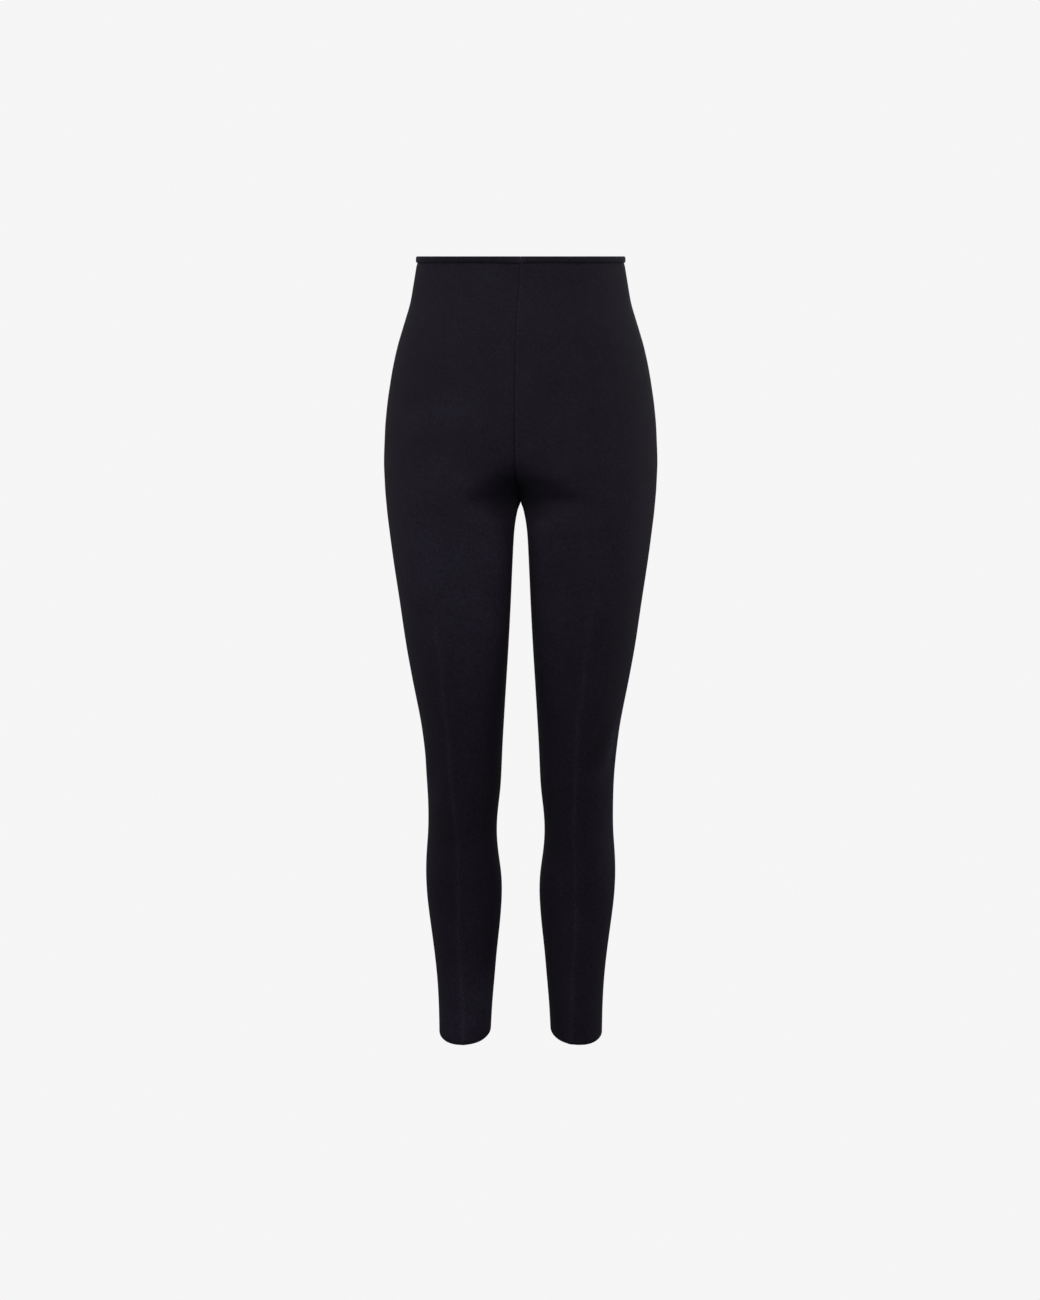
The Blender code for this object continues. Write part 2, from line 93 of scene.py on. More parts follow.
# One row per level, in millimetres: drop below the top edge, outer and inner sides of the leg
# from the centre plane (inner is negative where the plane cuts the oval), how far out its
# front-most and back-most places lie, the depth of its front, widest place and back, its
# fullness, where 2 is an ellipse and more is squarer, and the fullness of its inner front quarter.
Level = namedtuple(
    "Level",
    "drop outer inner_front inner_back crown_front crown_back front middle back fullness inside",
)
LEVELS = [
    Level(0, 130.1, -130.1, -130.1, 0, 0, -92.0, 2.0, 92.0, 2.10, 2.10),
    Level(12, 131.0, -131.0, -131.0, 0, 0, -92.2, 2.0, 92.0, 2.10, 2.10),
    Level(24, 133.3, -133.3, -133.3, 0, 0, -93.2, 2.4, 92.4, 2.12, 2.12),
    Level(60, 140.1, -140.1, -140.1, 0, 0, -97.2, 4.0, 95.0, 2.16, 2.16),
    Level(80, 146.3, -146.3, -146.3, 0, 0, -99.4, 5.2, 98.4, 2.20, 2.20),
    Level(117, 157.5, -157.5, -157.5, 0, 0, -102.2, 7.8, 107.4, 2.25, 2.25),
    Level(155, 165.6, -164.6, -165.6, 3, 0, -103.3, 10.0, 117.4, 2.30, 2.30),
    Level(193, 171.1, -151.0, -166.0, 13, 5, -102.7, 11.4, 124.2, 2.36, 2.36),
    Level(231, 174.2, -114.0, -152.0, 31, 16, -101.1, 11.2, 125.4, 2.40, 2.40),
    Level(260, 174.9, -50.0, -122.0, 52, 31, -99.9, 9.8, 121.4, 2.40, 2.40),
    Level(285, 174.3, -9.4, -68.0, 70, 48, -98.8, 8.2, 115.2, 2.37, 1.95),
    Level(302, 173.2, -1.3, -22.0, 79, 60, -98.1, 7.1, 110.4, 2.33, 1.75),
    Level(311.6, 172.4, 0.2, 0.2, 83, 66.5, -97.7, 6.4, 107.5, 2.30, 2.50),
    Level(320, 171.7, 4.4, 4.4, 85.5, 71.5, -97.4, 5.9, 105.1, 2.27, 5.60),
    Level(340, 169.5, 7.9, 7.9, 87.5, 79.5, -96.9, 4.8, 99.7, 2.21, 7.60),
    Level(379, 164.7, 10.1, 10.1, 87.2, 85, -95.6, 2.6, 91.2, 2.14, 7.80),
    Level(438, 156.3, 12.7, 12.7, 84.5, 84.5, -92.6, 0.2, 82.6, 2.10, 6.20),
    Level(497, 148.0, 15.8, 15.8, 81.9, 81.9, -87.2, -1.8, 75.2, 2.08, 4.40),
    Level(556, 137.6, 19.4, 19.4, 78.5, 78.5, -79.6, -3.2, 67.4, 2.06, 3.20),
    Level(596, 130.1, 21.8, 21.8, 76, 76, -72.8, -3.8, 61.6, 2.06, 2.40),
    Level(636, 125.2, 24.0, 24.0, 74.6, 74.6, -65.0, -3.6, 56.6, 2.06, 2.15),
    Level(677, 122.1, 25.8, 25.8, 74, 74, -56.6, -1.8, 53.8, 2.06, 2.06),
    Level(707, 121.6, 28.7, 28.7, 75.2, 75.2, -50.2, 2.2, 55.2, 2.04, 2.04),
    Level(738, 122.1, 31.6, 31.6, 76.9, 76.9, -44.6, 8.0, 60.4, 2.04, 2.04),
    Level(768, 124.0, 30.8, 30.8, 77.4, 77.4, -40.0, 14.0, 67.0, 2.04, 2.04),
    Level(799, 126.1, 26.6, 26.6, 76.4, 76.4, -36.0, 18.0, 72.0, 2.04, 2.04),
    Level(830, 125.3, 25.0, 25.0, 75.2, 75.2, -32.6, 19.8, 73.6, 2.04, 2.04),
    Level(861, 122.4, 26.3, 26.3, 74.4, 74.4, -29.6, 20.4, 72.6, 2.04, 2.04),
    Level(902, 117.4, 30.6, 30.6, 74, 74, -26.4, 20.4, 69.4, 2.04, 2.04),
    Level(944, 112.9, 34.3, 34.3, 73.6, 73.6, -24.2, 20.2, 65.8, 2.04, 2.04),
    Level(986, 110.5, 37.7, 37.7, 74.1, 74.1, -22.8, 20.2, 63.4, 2.12, 2.12),
    Level(1005, 110.1, 39.0, 39.0, 74.6, 74.6, -22.4, 20.2, 62.9, 2.20, 2.20),
    Level(1040, 109.6, 40.6, 40.6, 75.1, 75.1, -21.8, 20.2, 62.4, 2.30, 2.30),
]

# The pressed creases, front and back: how far out from the centre plane they lie, by level.
Crease = namedtuple("Crease", "drop right_front left_front right_back left_back")
CREASES = [
    Crease(0, 62, 60, 62, 64),
    Crease(390, 112, 97, 92, 96),
    Crease(440, 107, 90, 88, 92),
    Crease(570, 95, 71, 80, 84),
    Crease(640, 90, 70, 76, 79),
    Crease(720, 84, 69, 75, 77),
    Crease(790, 80, 71, 73, 76),
    Crease(860, 81, 71, 74, 72),
    Crease(950, 77, 68, 75, 71),
    Crease(1030, 75, 66, 75, 72),
]

# The centre-front seam bows towards the wearer's right, by level, in millimetres.
Bow = namedtuple("Bow", "drop shift")
FRONT_BOW = [
    Bow(0, -0.8),
    Bow(35, -2.0),
    Bow(62, -4.6),
    Bow(120, -7.0),
    Bow(180, -7.7),
    Bow(240, -7.4),
    Bow(268, -6.2),
    Bow(300, -3.2),
    Bow(320, 0),
]
BOW_REACH = 70 * MM
BOW_DEPTH = 40 * MM

# How the cloth eases round the crotch: rings above and below it, and the columns in from each
# edge between which the easing fades away.
EASE_RINGS = 2.2
EASE_COLUMNS = (4, 12)
EASE_PASSES = 4


def smooth_step(low, high, value):
    """0 below low, 1 above high, easing in and out between them."""
    share = np.clip((value - low) / (high - low), 0.0, 1.0)
    return share * share * (3.0 - 2.0 * share)


def gentle_slope(places, heights, index):
    """The slope of the curve at one row: level at a peak, and between its neighbours' slopes."""
    if index in (0, len(places) - 1):
        near = 0 if index == 0 else index - 1
        return (heights[near + 1] - heights[near]) / (places[near + 1] - places[near])
    before = (heights[index] - heights[index - 1]) / (places[index] - places[index - 1])
    after = (heights[index + 1] - heights[index]) / (places[index + 1] - places[index])
    if before * after <= 0.0:
        return 0.0
    return 2.0 * before * after / (before + after)


def hermite(start, end, start_slope, end_slope, share):
    """A cubic from start to end with the given slopes."""
    square = share * share
    cube = square * share
    return (
        (2 * cube - 3 * square + 1) * start
        + (cube - 2 * square + share) * start_slope
        + (3 * square - 2 * cube) * end
        + (cube - square) * end_slope
    )


def read_rows(rows, drop):
    """A row of metres at any drop, on smooth curves through the rows that never overshoot."""
    drops = [row.drop * MM for row in rows]
    place = min(max(drop, drops[0]), drops[-1])
    last = len(rows) - 2
    index = min(sum(1 for level in drops[1:] if level < place), last)
    span = drops[index + 1] - drops[index]
    share = (place - drops[index]) / span
    values = [place]
    for column in rows[0]._fields[1:]:
        scale = 1.0 if column in ("fullness", "inside") else MM
        heights = [getattr(row, column) * scale for row in rows]
        low = gentle_slope(drops, heights, index)
        high = gentle_slope(drops, heights, index + 1)
        values.append(hermite(heights[index], heights[index + 1], low * span, high * span, share))
    return rows[0]._make(values)


def half_oval(level, on_back):
    """The front or the back half of the right leg's oval: the widths of its inner and outer
    quarters, the x at which they meet, and its depth."""
    if on_back:
        inner, crown, depth = level.inner_back, level.crown_back, level.back - level.middle
    else:
        inner, crown, depth = level.inner_front, level.crown_front, level.middle - level.front
    return crown - inner, level.outer - crown, -crown, depth


def edge_angles(level):
    """Where the cloth's front and back edges lie on the oval: at the centre plane or, where the
    oval stays clear of it, half a seam gap either side of the inside leg."""
    angles = []
    for on_back in (False, True):
        inner_width, _, crown, depth = half_oval(level, on_back)
        reach = min((-SEAM_GAP / 2 - crown) / inner_width, 1.0)
        fullness = level.fullness if on_back or reach < 0 else level.inside
        plane_cut = math.acos(math.copysign(abs(reach) ** (fullness / 2), reach))
        inseam_cut = math.asin((SEAM_GAP / 2 / depth) ** (fullness / 2))
        angles.append(max(plane_cut, inseam_cut))
    return angles[0], 2 * math.pi - angles[1]


def walk_round(level):
    """Points round the right leg's oval from edge to edge: distances, x and y."""
    start, end = edge_angles(level)
    angle = np.linspace(start, end, WALK_STEPS + 1)
    across, along = np.cos(angle), np.sin(angle)
    front, back = half_oval(level, False), half_oval(level, True)
    inner_width, outer_width, crown, depth = [
        np.where(along < 0, behind, ahead) for ahead, behind in zip(front, back)
    ]
    power = 2.0 / np.where((along > 0) & (across > 0), level.inside, level.fullness)
    width = np.where(across > 0, inner_width, outer_width)
    x = crown + width * np.copysign(np.abs(across) ** power, across)
    y = level.middle - depth * np.copysign(np.abs(along) ** power, along)
    steps = np.hypot(np.diff(x), np.diff(y))
    return np.concatenate([[0.0], np.cumsum(steps)]), x, y


def at_length(walk, place):
    """The x and y that lie a length of the way round a walk."""
    distance, x, y = walk
    return float(np.interp(place, distance, x)), float(np.interp(place, distance, y))


def column_share(column):
    """A plain column's share of the way round, the columns crowding towards both edges."""
    place = column / COLUMNS
    return place - COLUMN_CROWDING * np.sin(2 * math.pi * place) / (2 * math.pi)


def halves(drop):
    """The walk at a drop, and the lengths of its halves in front of and behind the leg's side."""
    walk = walk_round(read_rows(LEVELS, drop))
    to_side = walk[0][np.argmin(walk[1])]
    return walk, np.array([to_side, walk[0][-1] - to_side])


HALVES_AT_JUMP = []
HALVES_SLOPES = []
for drop, off in ((JUMP_TOP, -JUMP_STEP), (JUMP_BOTTOM, JUMP_STEP)):
    HALVES_AT_JUMP.append(halves(drop)[1])
    HALVES_SLOPES.append((halves(drop + off)[1] - HALVES_AT_JUMP[-1]) / off)


def laid_lengths(shares, drop, lengths):
    """How far round from the front edge columns lie: evenly along each half of the way round,
    but for the girth's jump."""
    even = lengths
    if JUMP_TOP < drop < JUMP_BOTTOM:
        span = JUMP_BOTTOM - JUMP_TOP
        slopes = [slope * span for slope in HALVES_SLOPES]
        even = hermite(*HALVES_AT_JUMP, *slopes, (drop - JUMP_TOP) / span)
    off_side = np.abs(1.0 - 2.0 * shares)
    behind = (shares > 0.5).astype(int)
    from_side = even[behind] * off_side + (lengths - even)[behind] * off_side ** JUMP_POWER
    return lengths[0] + np.where(behind, from_side, -from_side)


def share_at_reach(drop, reach, on_back):
    """The share of the column whose front, or back, first lies a reach from the centre."""
    (distance, x, _), lengths = halves(drop)
    beyond = np.nonzero(-x >= reach)[0]
    wanted = distance[beyond[-1] if on_back else beyond[0]]
    shares = np.linspace(0.0, 1.0, SHARE_STEPS + 1)
    return float(np.interp(wanted, laid_lengths(shares, drop, lengths), shares))


def crotch_route(on_back):
    """The cloth's edge from its top to the crotch: distances and drops."""
    share = 1.0 - (1.0 - np.linspace(0.0, 1.0, ROUTE_STEPS + 1)) ** ROUTE_CROWDING
    drops = PANEL_TOP + (INSEAM_TOP - PANEL_TOP) * share
    depths = [walk_round(read_rows(LEVELS, drop))[2][-1 if on_back else 0] for drop in drops]
    steps = np.hypot(np.diff(drops), np.diff(depths))
    return np.concatenate([[0.0], np.cumsum(steps)]), drops


def ring_drops():
    """Each ring's drop at the cloth's front edge, at its outer side and at its back edge."""
    routes = [crotch_route(False), crotch_route(True)]
    drops = []
    for ring in range(BODY_RINGS + 1):
        share = ring / BODY_RINGS
        front, back = [np.interp(share * far[-1], far, down) for far, down in routes]
        drops.append((front, PANEL_TOP + (INSEAM_TOP - PANEL_TOP) * share, back))
    for ring in range(1, LEG_RINGS + 1):
        share = ring / LEG_RINGS
        eased = share - FIRST_RING_CROWDING * share * (1.0 - share)
        drops.append((INSEAM_TOP + (HEM_DROP - INSEAM_TOP) * eased,) * 3)
    return drops


def hem_dip(level, x, y):
    """How much lower than its outer side the hem lies: lower in front and behind, and a little
    higher on the inner side."""
    if y < level.middle:
        dip = HEM_FRONT_DIP * ((level.middle - y) / (level.middle - level.front)) ** HEM_CURVE
    else:
        dip = HEM_BACK_DIP * ((y - level.middle) / (level.back - level.middle)) ** HEM_CURVE
    inward = (x + level.outer) / (level.outer - level.inner_front)
    return dip - HEM_INNER_RISE * inward ** 2


def bow_front(point):
    """The point moved sideways with the bow of the centre-front seam."""
    shift = read_rows(FRONT_BOW, -point.z).shift
    near_seam = 1.0 - smooth_step(0.0, BOW_REACH, abs(point.x))
    in_front = smooth_step(0.0, BOW_DEPTH, -point.y)
    return point + Vector((shift * near_seam * in_front, 0.0, 0.0))


def leg_rows(side):
    """One leg's plain form as rings of columns, each point with its drop, its ring's girth and
    the shares at which the ring's two creases lie."""
    rings = []
    for front_drop, outer_drop, back_drop in ring_drops():
        girth = halves(outer_drop)[1].sum()
        crease = read_rows(CREASES, outer_drop)
        reaches = (crease.right_front, crease.right_back)
        if side == LEFT:
            reaches = (crease.left_front, crease.left_back)
        creases = [
            share_at_reach(outer_drop, reach, on_back) for on_back, reach in enumerate(reaches)
        ]
        hem_share = smooth_step(HEM_DROP - HEM_CURVE_HEIGHT, HEM_DROP, outer_drop)
        ring = []
        for column in range(COLUMNS + 1):
            share = column_share(column)
            edge_drop = front_drop if share < 0.5 else back_drop
            drop = edge_drop + (outer_drop - edge_drop) * math.sin(math.pi * share) ** 2
            walk, lengths = halves(drop)
            x, y = at_length(walk, laid_lengths(share, drop, lengths))
            low = drop + hem_dip(read_rows(LEVELS, drop), x, y) * hem_share
            place = bow_front(Vector((-side * x, y, -low)))
            ring.append([*place, drop, girth, *creases])
        rings.append(ring)
    return np.array(rings)


def ease_crotch(rows):
    """Rounds the hollow where the thigh meets the body, between the cloth's edge and its side."""
    ring, column = np.indices(rows.shape[:2])
    from_edge = np.minimum(column, COLUMNS - column)
    near = np.exp(-(((ring - BODY_RINGS) / EASE_RINGS) ** 2)) * (from_edge > 0)
    near = (near * (1.0 - smooth_step(*EASE_COLUMNS, from_edge)))[..., None]
    for _ in range(EASE_PASSES):
        places = rows[..., :3]
        beside = np.roll(places, 1, 0) + np.roll(places, -1, 0)
        beside = beside + np.roll(places, 1, 1) + np.roll(places, -1, 1)
        rows[..., :3] = places + near * (beside / 4 - places) / 2
    return rows


def spline_weights(places, count):
    """Weights that read a smooth curve through count evenly spaced points at the given places."""
    through = np.eye(count)
    for index in range(1, count - 1):
        through[index, index - 1 : index + 2] = (1 / 6, 4 / 6, 1 / 6)
    beyond_ends = np.zeros((count + 2, count))
    beyond_ends[1:-1] = np.eye(count)
    beyond_ends[0, :2] = (2, -1)
    beyond_ends[-1, -2:] = (-1, 2)
    cell = np.clip(np.floor(places), 0, count - 2).astype(int)
    t = places - cell
    reads = np.zeros((len(places), count + 2))
    parts = ((1 - t) ** 3, 3 * t**3 - 6 * t**2 + 4, -3 * t**3 + 3 * t**2 + 3 * t + 1, t**3)
    for offset, part in enumerate(parts):
        reads[np.arange(len(places)), cell + offset] = part / 6
    return reads @ beyond_ends @ np.linalg.inv(through)


# The fine cloth: rings per ring of the plain form, and how far its columns stand from each edge
# and from the middle of each crease, in millimetres, with cells between those.
BODY_FINE = 7
LEG_FINE = 8
BESIDE_EDGE = (0.0, 1.0, 1.8, 2.6, 3.5, 4.8, 7.0)
BESIDE_CREASE = (-7.0, -4.5, -3.0, -2.0, -1.0, 0.0, 1.0, 2.0, 3.0, 4.5, 7.0)
CELLS_FRONT = 18
CELLS_OUTER = 56
CELLS_BACK = 18

# The top rings run on up between the casing's turned edges: how far, in millimetres.
INTO_CASING = (3.6, 2.0, 0.7)

# The rings that turn up inside the hem, in millimetres: how far up from its edge they start, how
# far they go inwards and how far they are raised.
Turn = namedtuple("Turn", "up inward raised")
HEM_TURN = [
    Turn(0, 0.25, -0.30),
    Turn(0, 0.75, -0.50),
    Turn(0, 1.25, -0.40),
    Turn(0, 1.60, 0.0),
    Turn(2.5, 1.75, 0.0),
    Turn(6, 1.75, 0.0),
    Turn(10, 1.75, 0.0),
    Turn(14, 1.75, 0.0),
    Turn(18, 1.75, 0.0),
]
HEM_RING_HEIGHT = (HEM_DROP - INSEAM_TOP) * (1.0 + FIRST_RING_CROWDING) / LEG_RINGS


def across_shares(girth, front_crease, back_crease):
    """The fine columns' shares of the way round one ring."""
    beside_edge = np.array(BESIDE_EDGE) * MM / girth
    beside_crease = np.array(BESIDE_CREASE) * MM / girth
    on_front = front_crease + beside_crease
    on_back = back_crease + beside_crease
    parts = [
        beside_edge,
        np.linspace(beside_edge[-1], on_front[0], CELLS_FRONT + 1)[1:],
        on_front[1:],
        np.linspace(on_front[-1], on_back[0], CELLS_OUTER + 1)[1:],
        on_back[1:],
        np.linspace(on_back[-1], 1.0 - beside_edge[-1], CELLS_BACK + 1)[1:],
        1.0 - beside_edge[::-1][1:],
    ]
    return np.concatenate(parts)


# Soft folds and patches of painted light and shade, one row each. share: how far round the cloth
# from its front edge. length and width: in millimetres. lean: degrees that it is turned from
# level.
# amount: of a fold, its height in millimetres, a trough's below nought; of a painted patch, how
# much lighter, as a painted highlight, or darker, as painted shade, its colour is made.
Patch = namedtuple("Patch", "leg drop share length width amount lean")
FOLDS = [
    Patch(LEFT, 622, 0.390, 30, 8, 1.6, 78),
    Patch(LEFT, 664, 0.360, 36, 9, 1.4, 74),
    Patch(LEFT, 630, 0.330, 34, 11, -1.3, 76),
    Patch(RIGHT, 655, 0.445, 38, 11, 1.5, -72),
    Patch(RIGHT, 668, 0.385, 34, 12, -1.1, -66),
    Patch(RIGHT, 690, 0.76, 34, 9, -1.8, 8),
    Patch(LEFT, 684, 0.75, 38, 9, -2.0, -6),
    Patch(RIGHT, 716, 0.72, 28, 8, -1.3, -10),
    Patch(LEFT, 712, 0.78, 30, 8, -1.4, 7),
    Patch(RIGHT, 330, 0.84, 34, 9, -2.4, 16),
    Patch(LEFT, 334, 0.85, 36, 9, -2.8, 14),
    Patch(RIGHT, 348, 0.82, 30, 8, 1.0, 14),
    Patch(LEFT, 353, 0.83, 32, 8, 1.2, 12),
    Patch(LEFT, 372, 0.87, 24, 8, -1.2, 20),
]
# Painted light and shade: patches of lighter or darker colour that stand in for light and shade,
# such as painted shade in the crotch hollow and painted highlights on the knee folds, thighs,
# calves and ankles.
PAINTED_LIGHT_AND_SHADE = [
    Patch(RIGHT, 365, 0.36, 75, 75, 0.36, 0),
    Patch(RIGHT, 977, 0.10, 22, 45, 0.90, 0),
    Patch(RIGHT, 990, 0.24, 55, 50, 0.45, 0),
    Patch(RIGHT, 740, 0.32, 25, 45, -0.22, 0),
    Patch(RIGHT, 194, 0.20, 60, 18, 0.18, 0),
    Patch(RIGHT, 268, 0.055, 24, 3.5, -0.22, 4),
    Patch(RIGHT, 281, 0.050, 20, 3.5, -0.20, 6),
    Patch(LEFT, 274, 0.060, 22, 3.5, -0.14, -5),
    Patch(LEFT, 338, 0.37, 45, 60, 0.30, 0),
    Patch(LEFT, 762, 0.38, 16, 55, 0.28, 0),
    Patch(LEFT, 618, 0.387, 26, 6, 1.50, 78),
    Patch(LEFT, 656, 0.358, 32, 10, 0.60, 76),
    Patch(LEFT, 616, 0.325, 28, 10, -0.24, 76),
    Patch(RIGHT, 658, 0.435, 26, 5, 0.90, 90),
    Patch(LEFT, 818, 0.030, 34, 4, 1.00, 90),
    Patch(RIGHT, 430, 0.20, 80, 90, 0.16, 0),
    Patch(RIGHT, 655, 0.05, 20, 50, -0.40, 0),
    Patch(RIGHT, 303, 0.040, 42, 14, -0.45, 0),
    Patch(LEFT, 303, 0.050, 48, 15, -0.50, 0),
    Patch(LEFT, 332, 0.090, 30, 12, 0.30, 0),
]
CREASE_START = 380 * MM
CREASE_FULL = 560 * MM
CREASE_HEIGHT = 1.0 * MM
CREASE_HALF_WIDTH = 3.2 * MM
CREASE_SHARPNESS = 1.4
TUCK_DEPTH = 0.5 * MM
TUCK_HEIGHT = 5.0 * MM
# A painted highlight: the colour is made lighter down the middle of the pressed creases.
CREASE_HIGHLIGHT_TONE = 0.4
SEAM_RIDGE = 0.45 * MM
SEAM_DIP = 0.25 * MM
SEAM_RIDGE_OFF = 2.0 * MM
SEAM_RIDGE_WIDTH = 1.4 * MM
SEAM_RIDGE_TOP = (40 * MM, 120 * MM)
SEAM_RIDGE_END = (262 * MM, 282 * MM)
BACK_RIDGE_END = (280 * MM, 298 * MM)
# A painted highlight on the left leg's cloth over the seam ridge.
RIDGE_HIGHLIGHT_TONE = 0.30
SEAM_DARK = 0.62
SEAM_DARK_AT_TOP = 0.4
SEAM_DARK_TOP = (60 * MM, 190 * MM)
SEAM_DARK_WIDTH = 1.0 * MM


def pressing(share, drop, girth, front_crease, back_crease):
    """How strongly the cloth is pressed, from 0 to 1 along the middle of its creases."""
    strength = smooth_step(CREASE_START, CREASE_FULL, drop)
    press = np.zeros_like(share)
    for crease in (front_crease, back_crease):
        off = (share - crease) * girth / CREASE_HALF_WIDTH
        press += strength * np.exp(-np.abs(off) ** CREASE_SHARPNESS)
    return press


def patches(rows, side, share, drop, girth):
    """The sum of one leg's soft patches at each point."""
    total = np.zeros_like(share)
    for patch in rows:
        if patch.leg != side:
            continue
        across = (share - patch.share) * girth
        down = drop - patch.drop * MM
        lean = math.radians(patch.lean)
        along = across * math.cos(lean) - down * math.sin(lean)
        off = across * math.sin(lean) + down * math.cos(lean)
        fade = (along / (patch.length * MM)) ** 2 + (off / (patch.width * MM)) ** 2
        total += patch.amount * np.exp(-fade)
    return total


def seam_ridge(side, share, drop, girth):
    """The centre seams' turned allowances, front and back, under the left leg's cloth."""
    height = np.zeros_like(share)
    for from_seam, end in ((share, SEAM_RIDGE_END), (1.0 - share, BACK_RIDGE_END)):
        off = (from_seam * girth - SEAM_RIDGE_OFF) / SEAM_RIDGE_WIDTH
        along = smooth_step(*SEAM_RIDGE_TOP, drop) * (1.0 - smooth_step(*end, drop))
        height += (SEAM_RIDGE if side == LEFT else -SEAM_DIP) * along * np.exp(-(off**2))
    return height


def seam_tone(side, share, drop, girth):
    """Dark down in the seams, and a painted highlight on the left leg's cloth over the ridge
    beside them.
    """
    from_seam = np.minimum(share, 1.0 - share) * girth
    on_body = 1.0 - smooth_step(*BACK_RIDGE_END, drop)
    ridge = np.exp(-(((from_seam - SEAM_RIDGE_OFF) / SEAM_RIDGE_WIDTH) ** 2))
    # The lighter colour over the ridge is a painted highlight.
    lighter = RIDGE_HIGHLIGHT_TONE * ridge * on_body if side == LEFT else 0.0
    below_top = smooth_step(*SEAM_DARK_TOP, drop)
    dark = SEAM_DARK * (SEAM_DARK_AT_TOP + (1.0 - SEAM_DARK_AT_TOP) * below_top)
    return (1.0 + lighter) * (1.0 - dark * np.exp(-((from_seam / SEAM_DARK_WIDTH) ** 2)))


def relief(side, share, drop, girth, front_crease, back_crease):
    """How far the cloth stands proud of the plain form, at its creases, folds and seam."""
    height = CREASE_HEIGHT * pressing(share, drop, girth, front_crease, back_crease)
    height += MM * patches(FOLDS, side, share, drop, girth)
    height += seam_ridge(side, share, drop, girth)
    height -= TUCK_DEPTH * (1.0 - smooth_step(PANEL_TOP, PANEL_TOP + TUCK_HEIGHT, drop))
    return height


def fine_rows(side):
    """The fine cloth by ring: its points, outward directions, distances round, drops and tones,
    and the first and last rings of its face."""
    plain = ease_crotch(leg_rows(side))
    rings = BODY_RINGS + LEG_RINGS + 1
    body = np.linspace(0, BODY_RINGS, BODY_RINGS * BODY_FINE + 1)
    leg = np.linspace(BODY_RINGS, rings - 1, LEG_RINGS * LEG_FINE + 1)
    turned_up = [rings - 1 - turn.up * MM / HEM_RING_HEIGHT for turn in HEM_TURN]
    places = np.concatenate([[0] * len(INTO_CASING), body, leg[1:], turned_up])
    reads = spline_weights(places, rings)
    rows = np.einsum("fr,rcn->fcn", reads, plain)
    between = np.linspace(0.0, COLUMNS, SHARE_STEPS + 1)
    fine = []
    shares = []
    for row in rows:
        _, girth, front_crease, back_crease = row[COLUMNS // 2, 3:]
        share = across_shares(girth, front_crease, back_crease)
        shares.append(share)
        places_across = np.interp(share, column_share(between), between)
        fine.append(spline_weights(places_across, COLUMNS + 1) @ row)
    fine = np.array(fine)
    shares = np.array(shares)
    first, last = len(INTO_CASING), len(places) - len(HEM_TURN)
    points = fine[..., :3]
    down = np.empty_like(points)
    down[first:last] = np.gradient(points[first:last], axis=0)
    down[:first] = down[first]
    for index, turn in enumerate(HEM_TURN):
        near = last - 1 - int(turn.up * MM / HEM_RING_HEIGHT * LEG_FINE)
        down[last + index] = down[near]
    outward = np.cross(np.gradient(points, axis=1), down) * -side
    outward /= np.linalg.norm(outward, axis=2)[..., None]
    proud = relief(side, shares, *np.moveaxis(fine[..., 3:], -1, 0))
    points = points + outward * proud[..., None]
    for index, raised in enumerate(INTO_CASING):
        points[index, :, 2] += raised * MM
    for index, turn in enumerate(HEM_TURN):
        points[last + index] += outward[last + index] * -turn.inward * MM
        points[last + index] += np.array([0, 0, turn.raised * MM])
    steps = np.linalg.norm(np.diff(points, axis=1), axis=2)
    from_front = np.concatenate([np.zeros((len(points), 1)), np.cumsum(steps, axis=1)], axis=1)
    to_side = [np.interp(0.5, *row) for row in zip(shares, from_front)]
    from_side = from_front - np.array(to_side)[:, None]
    # The colour's tone: a painted highlight down the creases, the patches of painted light and
    # shade, and the seams' dark lines with a painted highlight beside them.
    tone = 1.0 + CREASE_HIGHLIGHT_TONE * pressing(shares, *np.moveaxis(fine[..., 3:], -1, 0))
    tone *= 1.0 + patches(PAINTED_LIGHT_AND_SHADE, side, shares, fine[..., 3], fine[..., 4])
    tone *= seam_tone(side, shares, fine[..., 3], fine[..., 4])
    return points, outward, from_side, fine[..., 3], tone, first, last


def allowance_fold(side, at_front, drop):
    """Which way a seam's allowance folds: 1 past the seam, -1 back under its own cloth. On the
    body both lie to the left, on the legs both lie to the back."""
    on_leg = smooth_step(INSEAM_TOP - FOLD_CHANGE, INSEAM_TOP + FOLD_CHANGE, drop)
    fold = -side + ((1 if at_front else -1) + side) * on_leg
    return fold * (1.0 - smooth_step(HEM_DROP - FOLD_END[0], HEM_DROP - FOLD_END[1], drop))


def turn_allowances(shape, seams, inward, sideways):
    """Turns the cloth in along its seams, then folds the allowance flat."""
    corners = seams
    for moves in (inward, sideways):
        made = bmesh.ops.extrude_edge_only(shape, edges=corners)["geom"]
        turned = {item for item in made if isinstance(item, bmesh.types.BMVert)}
        for vertex in turned:
            start = next(edge.other_vert(vertex) for edge in vertex.link_edges
                         if edge.other_vert(vertex) in moves)
            vertex.co = start.co + moves[start]
            if moves is inward:
                sideways[vertex] = sideways.pop(start)
        corners = [item for item in made
                   if isinstance(item, bmesh.types.BMEdge) and turned.issuperset(item.verts)]


